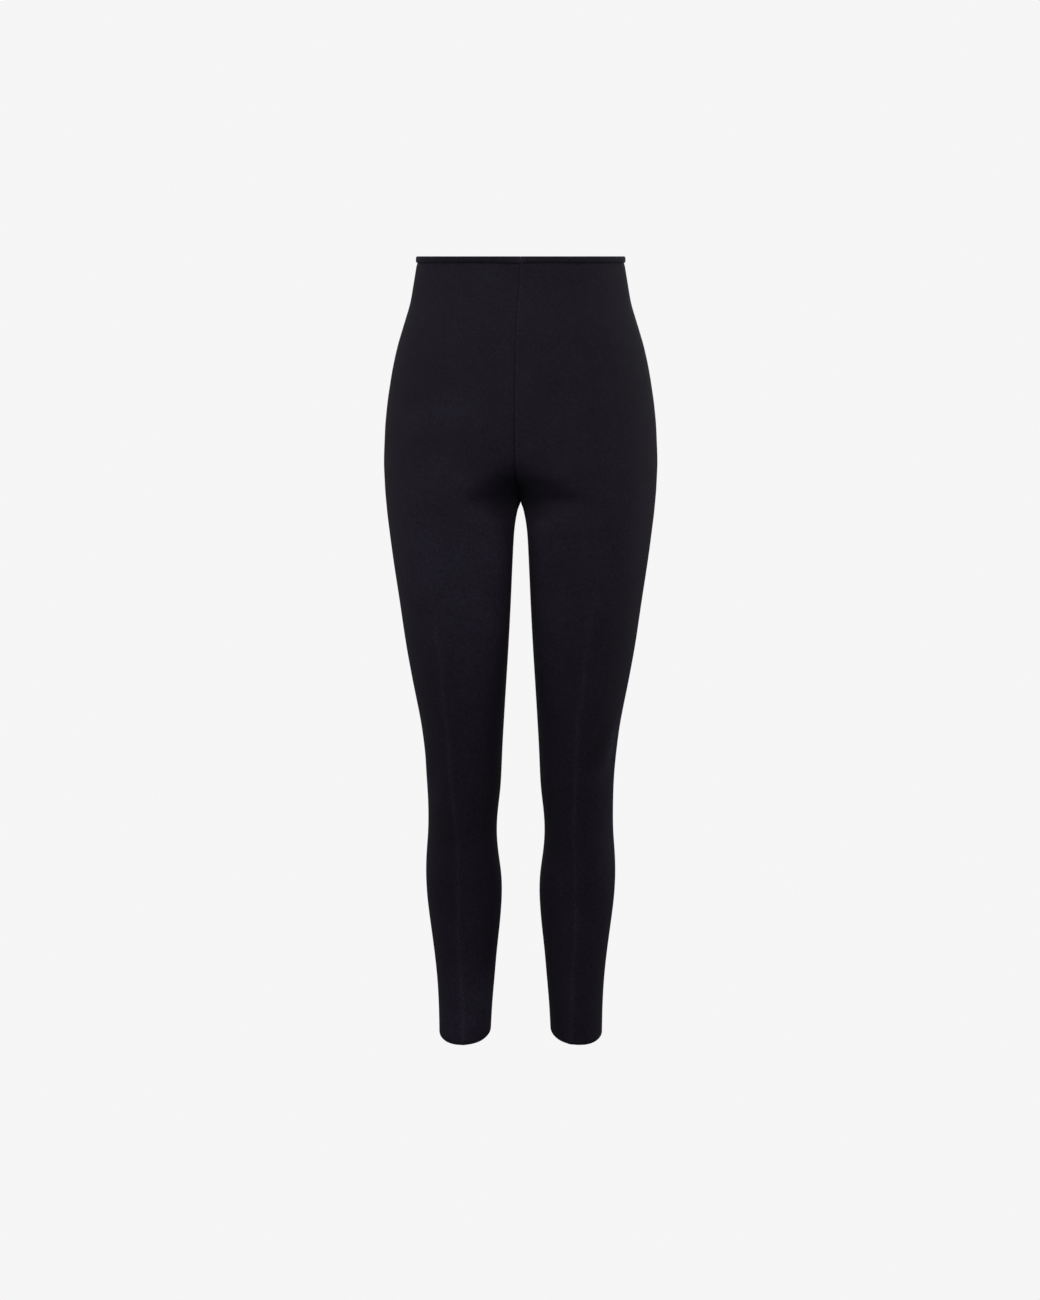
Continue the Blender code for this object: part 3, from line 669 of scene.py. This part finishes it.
def make_leg_panel(name, side):
    """One leg's cloth, from a flat grid laid on its form, with turned seams and hem."""
    points, outward, from_side, drops, tone, first, last = fine_rows(side)
    ring_cells, column_cells = points.shape[0] - 1, points.shape[1] - 1
    mesh = bpy.data.meshes.new(name)
    panel = bpy.data.objects.new(name, mesh)
    bpy.context.collection.objects.link(panel)
    shape = bmesh.new()
    bmesh.ops.create_grid(shape, x_segments=column_cells, y_segments=ring_cells, size=1.0)
    cloth_map = shape.loops.layers.uv.new("cloth")
    cloth_tone = shape.verts.layers.float.new("tone")
    places = {}
    for vertex in shape.verts:
        column = round((vertex.co.x + 1.0) / 2 * column_cells)
        ring = round((vertex.co.y + 1.0) / 2 * ring_cells)
        places[vertex] = (ring, column)
    for vertex, place in places.items():
        vertex.co = points[place]
        vertex[cloth_tone] = tone[place]
    for face in shape.faces:
        face.smooth = True
        for loop in face.loops:
            place = places[loop.vert]
            loop[cloth_map].uv = (from_side[place], drops[place])
    if side == LEFT:
        bmesh.ops.reverse_faces(shape, faces=shape.faces)
    seams = []
    for edge in shape.edges:
        ends = [places[vertex] for vertex in edge.verts]
        on_side = ends[0][1] == ends[1][1] and ends[0][1] in (0, column_cells)
        if on_side and all(first <= ring < last for ring, _ in ends):
            seams.append(edge)
    inward = {}
    sideways = {}
    for vertex in {vertex for edge in seams for vertex in edge.verts}:
        ring, column = places[vertex]
        outside = Vector(outward[ring, column])
        behind = FOLD_AIM_COLUMNS if column == 0 else column_cells - FOLD_AIM_COLUMNS
        away = Vector(points[ring, column] - points[ring, behind])
        away = (away - outside * away.dot(outside)).normalized()
        fold = allowance_fold(side, column == 0, drops[ring, column])
        inward[vertex] = outside * -(ALLOWANCE_DEPTH + ALLOWANCE_STEP * fold)
        sideways[vertex] = (away * fold - outside * (1.0 - abs(fold))) * SEAM_ALLOWANCE
    turn_allowances(shape, seams, inward, sideways)
    shape.normal_update()
    bmesh.ops.bevel(
        shape,
        geom=seams,
        offset=SEAM_ROUND,
        offset_type="OFFSET",
        segments=SEAM_ROUND_STEPS,
        profile=0.5,
        affect="EDGES",
        material=-1,
        clamp_overlap=True,
    )
    bmesh.ops.solidify(shape, geom=shape.faces[:], thickness=JERSEY)
    for face in shape.faces:
        face.smooth = True
    shape.to_mesh(mesh)
    shape.free()
    return panel


WALES_PER_METRE = 2100.0
COURSES_PER_METRE = 2600.0
STITCH_SLANT = 0.5
STITCH_RELIEF = 0.3
YARN_PER_METRE = 420.0
CLOUDS_PER_METRE = 24.0
CLOUD_SHARE = 0.35
UNEVENNESS = 1.6


def knit_group():
    """Fine jersey: columns of small V stitches, and the slight unevenness of stretched yarn."""
    tree = bpy.data.node_groups.new("jersey_knit", "ShaderNodeTree")
    sockets = tree.interface
    for name, value in (
        ("Wales per metre", WALES_PER_METRE),
        ("Courses per metre", COURSES_PER_METRE),
        ("Uneven", UNEVENNESS),
    ):
        socket = sockets.new_socket(name, in_out="INPUT", socket_type="NodeSocketFloat")
        socket.default_value = value
    for name in ("Stitch Height", "Mottle"):
        sockets.new_socket(name, in_out="OUTPUT", socket_type="NodeSocketFloat")
    nodes = tree.nodes
    given = nodes.new("NodeGroupInput")
    result = nodes.new("NodeGroupOutput")

    def maths(operation, first, second=None):
        node = nodes.new("ShaderNodeMath")
        node.operation = operation
        for socket, value in zip(node.inputs, (first, second)):
            if value is None:
                continue
            if isinstance(value, bpy.types.NodeSocket):
                tree.links.new(value, socket)
            else:
                socket.default_value = value
        return node.outputs[0]

    uv = nodes.new("ShaderNodeUVMap")
    uv.uv_map = "cloth"
    split = nodes.new("ShaderNodeSeparateXYZ")
    tree.links.new(uv.outputs["UV"], split.inputs[0])
    wale = maths("FRACT", maths("MULTIPLY", split.outputs["X"], given.outputs["Wales per metre"]))
    off_wale = maths("MULTIPLY", maths("ABSOLUTE", maths("SUBTRACT", wale, 0.5)), 2.0)
    course = maths("MULTIPLY", split.outputs["Y"], given.outputs["Courses per metre"])
    slanted = maths("ADD", course, maths("MULTIPLY", off_wale, STITCH_SLANT))
    loop = maths("SINE", maths("MULTIPLY", slanted, 2.0 * math.pi))
    crown = maths("SUBTRACT", 1.0, maths("POWER", off_wale, 2.0))
    ribbed = maths("ADD", 1.0 - STITCH_RELIEF, maths("MULTIPLY", loop, STITCH_RELIEF))
    stitch = maths("MULTIPLY", crown, ribbed)
    tree.links.new(stitch, result.inputs["Stitch Height"])

    place = nodes.new("ShaderNodeTexCoord")
    yarn = nodes.new("ShaderNodeTexNoise")
    yarn.inputs["Scale"].default_value = YARN_PER_METRE
    yarn.inputs["Detail"].default_value = 2.0
    tree.links.new(place.outputs["Object"], yarn.inputs["Vector"])
    cloud = nodes.new("ShaderNodeTexNoise")
    cloud.inputs["Scale"].default_value = CLOUDS_PER_METRE
    cloud.inputs["Detail"].default_value = 3.0
    tree.links.new(place.outputs["Object"], cloud.inputs["Vector"])
    yarn_part = maths("SUBTRACT", yarn.outputs["Fac"], 0.5)
    cloud_part = maths("MULTIPLY", maths("SUBTRACT", cloud.outputs["Fac"], 0.5), CLOUD_SHARE)
    uneven = maths("MULTIPLY", maths("ADD", yarn_part, cloud_part), given.outputs["Uneven"])
    tree.links.new(maths("ADD", uneven, 0.5), result.inputs["Mottle"])
    return tree


JERSEY_DARK = (0.0046, 0.0038, 0.0067)
JERSEY_LIGHT = (0.0162, 0.0133, 0.0227)
JERSEY_ROUGHNESS_SPREAD = 0.06
STITCH_DEPTH = 0.12 * MM


def make_jersey(name, knit, roughness, sheen):
    """Matt black jersey: the knit's tone and stitches over a soft, slightly blue bloom."""
    jersey = bpy.data.materials.new(name)
    jersey.use_nodes = True
    tree = jersey.node_tree
    shader = tree.nodes["Principled BSDF"]
    stitches = tree.nodes.new("ShaderNodeGroup")
    stitches.node_tree = knit
    yarn = tree.nodes.new("ShaderNodeMix")
    yarn.data_type = "RGBA"
    yarn.inputs["A"].default_value = (*JERSEY_DARK, 1.0)
    yarn.inputs["B"].default_value = (*JERSEY_LIGHT, 1.0)
    tree.links.new(stitches.outputs["Mottle"], yarn.inputs["Factor"])
    # This node reads the tone, which holds painted highlights and painted shade besides the seams'
    # dark lines.
    stretch = tree.nodes.new("ShaderNodeAttribute")
    stretch.attribute_name = "tone"
    toned = tree.nodes.new("ShaderNodeVectorMath")
    toned.operation = "SCALE"
    tree.links.new(yarn.outputs["Result"], toned.inputs[0])
    tree.links.new(stretch.outputs["Fac"], toned.inputs["Scale"])
    tree.links.new(toned.outputs["Vector"], shader.inputs["Base Color"])
    spread = tree.nodes.new("ShaderNodeMapRange")
    spread.inputs["To Min"].default_value = roughness - JERSEY_ROUGHNESS_SPREAD
    spread.inputs["To Max"].default_value = roughness + JERSEY_ROUGHNESS_SPREAD
    tree.links.new(stitches.outputs["Mottle"], spread.inputs["Value"])
    tree.links.new(spread.outputs["Result"], shader.inputs["Roughness"])
    bump = tree.nodes.new("ShaderNodeBump")
    bump.inputs["Strength"].default_value = 0.5
    bump.inputs["Distance"].default_value = STITCH_DEPTH
    tree.links.new(stitches.outputs["Stitch Height"], bump.inputs["Height"])
    tree.links.new(bump.outputs["Normal"], shader.inputs["Normal"])
    shader.inputs["Specular IOR Level"].default_value = 0.12
    shader.inputs["Sheen Weight"].default_value = sheen
    shader.inputs["Sheen Roughness"].default_value = 0.5
    shader.inputs["Sheen Tint"].default_value = (0.88, 0.84, 1.0, 1.0)
    return jersey


KNIT = knit_group()
leg_jersey = make_jersey("leg_jersey", KNIT, roughness=0.72, sheen=0.02)

for node_name, piece_name, side in (
    ("right_leg_panel", "right_leg", RIGHT),
    ("left_leg_panel", "left_leg", LEFT),
):
    leg = make_leg_panel(piece_name, side)
    leg.data.materials.append(leg_jersey)
    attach(leg, "root")
    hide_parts(node_name)


# ---- Waist casing ----------------------------------------------------------------------------
# A strip of the same jersey folded over a narrow elastic, one half on each leg and joined at the
# centre front and back. Its lower edges are turned up inside and hold the top of the panel.

CASING_STATIONS = 120
CASING_CLOTH = 0.5 * MM
CASING_AIM_SHARE = 0.01
BESIDE_END = (0.0, 0.25, 0.6, 1.0, 1.6, 3.0)

# Round the strip from its turned-up front edge, over the top, to its turned-up back edge, in
# millimetres: out from the panel's face, and up from the top edge.
Round = namedtuple("Round", "out up")
CASING_ROUND = [
    Round(0.05, -2.8),
    Round(0.05, -4.8),
    Round(0.05, -6.8),
    Round(0.20, -7.5),
    Round(0.60, -7.9),
    Round(1.05, -7.8),
    Round(1.38, -7.1),
    Round(1.52, -6.0),
    Round(1.58, -4.4),
    Round(1.50, -2.8),
    Round(1.32, -1.5),
    Round(0.95, -0.6),
    Round(0.35, -0.12),
    Round(-0.75, 0.0),
    Round(-1.85, -0.12),
    Round(-2.45, -0.6),
    Round(-2.82, -1.5),
    Round(-3.00, -2.8),
    Round(-3.05, -4.4),
    Round(-2.98, -6.0),
    Round(-2.80, -7.1),
    Round(-2.40, -7.8),
    Round(-1.95, -7.9),
    Round(-1.60, -7.5),
    Round(-1.45, -6.8),
    Round(-1.45, -4.8),
    Round(-1.45, -2.8),
]
CASING_MIDDLE_OUT = -0.75 * MM
CASING_MAP_STEP = 1.0 * MM
END_ROUND = 1.0 * MM
END_DEPTH = 0.35 * MM

# The right half is a little darker across the front. It dips slowly to where it meets the left
# half, whose end is pulled down with it.
CASING_TONE = 0.86
# The upper part of the roll and the strip beyond it are painted lighter, as a painted highlight,
# and the lower front is painted darker, as painted shade.
CASING_ROLL = (7, 11)
CASING_ROLL_PAINTED_LIGHT = 0.5
# Painted highlights: the casing's colour is made lighter in short spots at the centre front and
# near its side.
CASING_HIGHLIGHT_SHARES = np.array([0.0, 0.44])
CASING_HIGHLIGHT_LENGTH = 5.0 * MM
CASING_HIGHLIGHT_TONE = 0.9
CASING_SHADE = 0.22
CASING_SHADE_END = (0.33, 0.42)
CASING_JOG = 1.0 * MM
CASING_JOG_LENGTH = {RIGHT: 45 * MM, LEFT: 7 * MM}


def casing_shares(girth):
    """The stations' shares of the way round, close together at each end."""
    ends = np.array(BESIDE_END) * MM / girth
    middle = np.linspace(ends[-1], 1.0 - ends[-1], CASING_STATIONS + 1)[1:-1]
    return np.concatenate([ends, middle, 1.0 - ends[::-1]])


def make_casing(name, side):
    """Half the casing: a flat grid laid round the strip's fold, with its ends turned in."""
    walk = walk_round(read_rows(LEVELS, CASING_HEIGHT / 2))
    girth = walk[0][-1]
    shares = casing_shares(girth)
    round_cells = len(CASING_ROUND) - 1
    station_cells = len(shares) - 1
    mesh = bpy.data.meshes.new(name)
    casing = bpy.data.objects.new(name, mesh)
    bpy.context.collection.objects.link(casing)
    shape = bmesh.new()
    bmesh.ops.create_grid(shape, x_segments=station_cells, y_segments=round_cells, size=1.0)
    cloth_map = shape.loops.layers.uv.new("cloth")
    cloth_tone = shape.verts.layers.float.new("tone")
    drawn = {}
    for vertex in shape.verts:
        station = round((vertex.co.x + 1.0) / 2 * station_cells)
        turn = round((vertex.co.y + 1.0) / 2 * round_cells)
        share = shares[station]
        on_front = 1.0 - smooth_step(*CASING_SHADE_END, share)
        near_end = np.exp(-(((share - CASING_HIGHLIGHT_SHARES) * girth / CASING_HIGHLIGHT_LENGTH) ** 2)).sum()
        tone = CASING_TONE - (CASING_SHADE if side == RIGHT else 0.0) * on_front
        # Painted highlight on the upper roll, painted shade on its lower front.
        on_roll = smooth_step(CASING_ROLL[0], CASING_ROLL[1], turn)
        # These lighter spots are painted highlights.
        stretched = CASING_HIGHLIGHT_TONE * near_end
        vertex[cloth_tone] = tone * (1.0 + CASING_ROLL_PAINTED_LIGHT * (on_roll - 0.5) + stretched)
        x, y = at_length(walk, share * girth)
        ahead = at_length(walk, (share + CASING_AIM_SHARE) * girth)
        behind = at_length(walk, (share - CASING_AIM_SHARE) * girth)
        along = Vector((ahead[0] - behind[0], ahead[1] - behind[1], 0.0))
        from_end = min(share, 1.0 - share) * girth
        if from_end < END_ROUND:
            along.y = 0.0
        outward = along.cross(Vector((0.0, 0.0, -1.0))).normalized()
        out, up = CASING_ROUND[turn].out * MM, CASING_ROUND[turn].up * MM
        inset = END_DEPTH * (1.0 - math.sqrt(1.0 - (1.0 - min(from_end / END_ROUND, 1.0)) ** 2))
        middle_up = -CASING_HEIGHT / 2
        off = Vector((out - CASING_MIDDLE_OUT, up - middle_up))
        off = off * (1.0 - inset / off.length)
        place = Vector((x, y, middle_up + off.y)) + outward * (CASING_MIDDLE_OUT + off.x)
        place.x *= -side
        place.z -= CASING_JOG * (1.0 - smooth_step(0.0, CASING_JOG_LENGTH[side], share * girth))
        drawn[vertex] = (bow_front(place), share * girth, turn * CASING_MAP_STEP)
    for face in shape.faces:
        face.smooth = True
        for loop in face.loops:
            loop[cloth_map].uv = drawn[loop.vert][1:]
    for vertex, (place, _, _) in drawn.items():
        vertex.co = place
    if side == RIGHT:
        bmesh.ops.reverse_faces(shape, faces=shape.faces)
    shape.normal_update()
    bmesh.ops.solidify(shape, geom=shape.faces[:], thickness=CASING_CLOTH)
    # The turned edges' inner faces stay on their own side of the seam.
    for vertex in shape.verts:
        bow = bow_front(vertex.co).x - vertex.co.x
        past_seam = SEAM_GAP / 2 - side * (vertex.co.x - bow)
        vertex.co.x += side * max(past_seam, 0.0)
    for face in shape.faces:
        face.smooth = True
    shape.to_mesh(mesh)
    shape.free()
    return casing


casing_jersey = make_jersey("casing_jersey", KNIT, roughness=0.66, sheen=0.03)

for node_name, piece_name, side in (
    ("right_waist_casing", "right_casing", RIGHT),
    ("left_waist_casing", "left_casing", LEFT),
):
    casing = make_casing(piece_name, side)
    casing.data.materials.append(casing_jersey)
    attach(casing, "root")
    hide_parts(node_name)


# ---- Floor, light and camera -----------------------------------------------------------------
# A plain pale studio: an even floor well below the hems, a pale surround that is brighter above
# than below, a soft light in front and one to either side of it, one at each side, and a faint
# one behind.

FLOOR_DROP = 1.5
FLOOR_RADIUS = 60.0
FLOOR_SIDES = 64
STUDIO_PALE = 0.917
PALE = (STUDIO_PALE, STUDIO_PALE, STUDIO_PALE, 1.0)
SURROUND_COLOUR = (0.97, 0.95, 1.0, 1.0)
SURROUND_HEIGHTS = (-0.6, 0.5)
SURROUND_STRENGTHS = (0.026, 0.395)

floor_mesh = bpy.data.meshes.new("floor")
floor = bpy.data.objects.new("floor", floor_mesh)
bpy.context.collection.objects.link(floor)
disc = bmesh.new()
bmesh.ops.create_circle(disc, cap_ends=True, segments=FLOOR_SIDES, radius=FLOOR_RADIUS)
bmesh.ops.translate(disc, verts=disc.verts, vec=(0.0, 0.0, -FLOOR_DROP))
disc.to_mesh(floor_mesh)
disc.free()
floor_paint = bpy.data.materials.new("floor_paint")
floor_paint.use_nodes = True
paint = floor_paint.node_tree.nodes["Principled BSDF"]
paint.inputs["Base Color"].default_value = (0.0, 0.0, 0.0, 1.0)
paint.inputs["Roughness"].default_value = 1.0
paint.inputs["Specular IOR Level"].default_value = 0.0
paint.inputs["Emission Color"].default_value = PALE
paint.inputs["Emission Strength"].default_value = 1.0
floor_mesh.materials.append(floor_paint)
floor.visible_diffuse = False
floor.visible_glossy = False
floor.visible_shadow = False

world = bpy.data.worlds.new("studio")
bpy.context.scene.world = world
world.use_nodes = True
sky = world.node_tree
seen = sky.nodes["Background"]
seen.inputs["Color"].default_value = PALE
around = sky.nodes.new("ShaderNodeBackground")
direction = sky.nodes.new("ShaderNodeTexCoord")
upward = sky.nodes.new("ShaderNodeSeparateXYZ")
sky.links.new(direction.outputs["Generated"], upward.inputs[0])
rise = sky.nodes.new("ShaderNodeMapRange")
rise.inputs["From Min"].default_value = SURROUND_HEIGHTS[0]
rise.inputs["From Max"].default_value = SURROUND_HEIGHTS[1]
rise.inputs["To Min"].default_value = SURROUND_STRENGTHS[0]
rise.inputs["To Max"].default_value = SURROUND_STRENGTHS[1]
sky.links.new(upward.outputs["Z"], rise.inputs["Value"])
sky.links.new(rise.outputs["Result"], around.inputs["Strength"])
around.inputs["Color"].default_value = SURROUND_COLOUR
ray = sky.nodes.new("ShaderNodeLightPath")
choose = sky.nodes.new("ShaderNodeMixShader")
sky.links.new(ray.outputs["Is Camera Ray"], choose.inputs["Fac"])
sky.links.new(around.outputs[0], choose.inputs[1])
sky.links.new(seen.outputs[0], choose.inputs[2])
sky.links.new(choose.outputs[0], sky.nodes["World Output"].inputs["Surface"])

Lamp = namedtuple("Lamp", "name place aim width height watts")
LAMPS = [
    Lamp("front_softbox", (0.0, -1.7, 0.35), (0.0, 0.0, -0.4), 1.0, 0.8, 11.2),
    Lamp("right_front_softbox", (-1.4, -1.4, 0.3), (0.0, 0.0, -0.4), 0.8, 1.0, 6.7),
    Lamp("left_front_softbox", (1.4, -1.4, 0.3), (0.0, 0.0, -0.4), 0.8, 1.0, 1.8),
    Lamp("right_side_softbox", (-2.2, 0.4, 0.2), (0.0, 0.0, -0.45), 0.8, 2.0, 5.8),
    Lamp("left_side_softbox", (2.2, 0.4, 0.2), (0.0, 0.0, -0.45), 0.8, 2.0, 12.2),
    Lamp("back_softbox", (0.3, 2.4, 0.4), (0.0, 0.0, -0.45), 1.4, 1.8, 9.0),
]
for lamp in LAMPS:
    light = bpy.data.lights.new(lamp.name, "AREA")
    light.shape = "RECTANGLE"
    light.size = lamp.width
    light.size_y = lamp.height
    light.energy = lamp.watts
    stand = bpy.data.objects.new(lamp.name, light)
    bpy.context.collection.objects.link(stand)
    stand.location = lamp.place
    beam = Vector(lamp.aim) - Vector(lamp.place)
    stand.rotation_euler = beam.to_track_quat("-Z", "Y").to_euler()
    stand.visible_camera = False

CAMERA_AWAY = 2.8
CAMERA_PITCH = math.radians(10.19)
SENSOR_WIDTH = 36.0
FOCAL_LENGTH = 60.654
SIDEWAYS_SHIFT = -0.7 / 1300
lens = bpy.data.cameras.new("camera")
lens.sensor_width = SENSOR_WIDTH
lens.lens = FOCAL_LENGTH
lens.shift_x = SIDEWAYS_SHIFT
camera = bpy.data.objects.new("camera", lens)
bpy.context.collection.objects.link(camera)
camera.location = (0.0, -CAMERA_AWAY, 0.0)
camera.rotation_euler = (math.pi / 2 - CAMERA_PITCH, 0.0, 0.0)
bpy.context.scene.camera = camera
bpy.context.scene.view_settings.view_transform = "Standard"
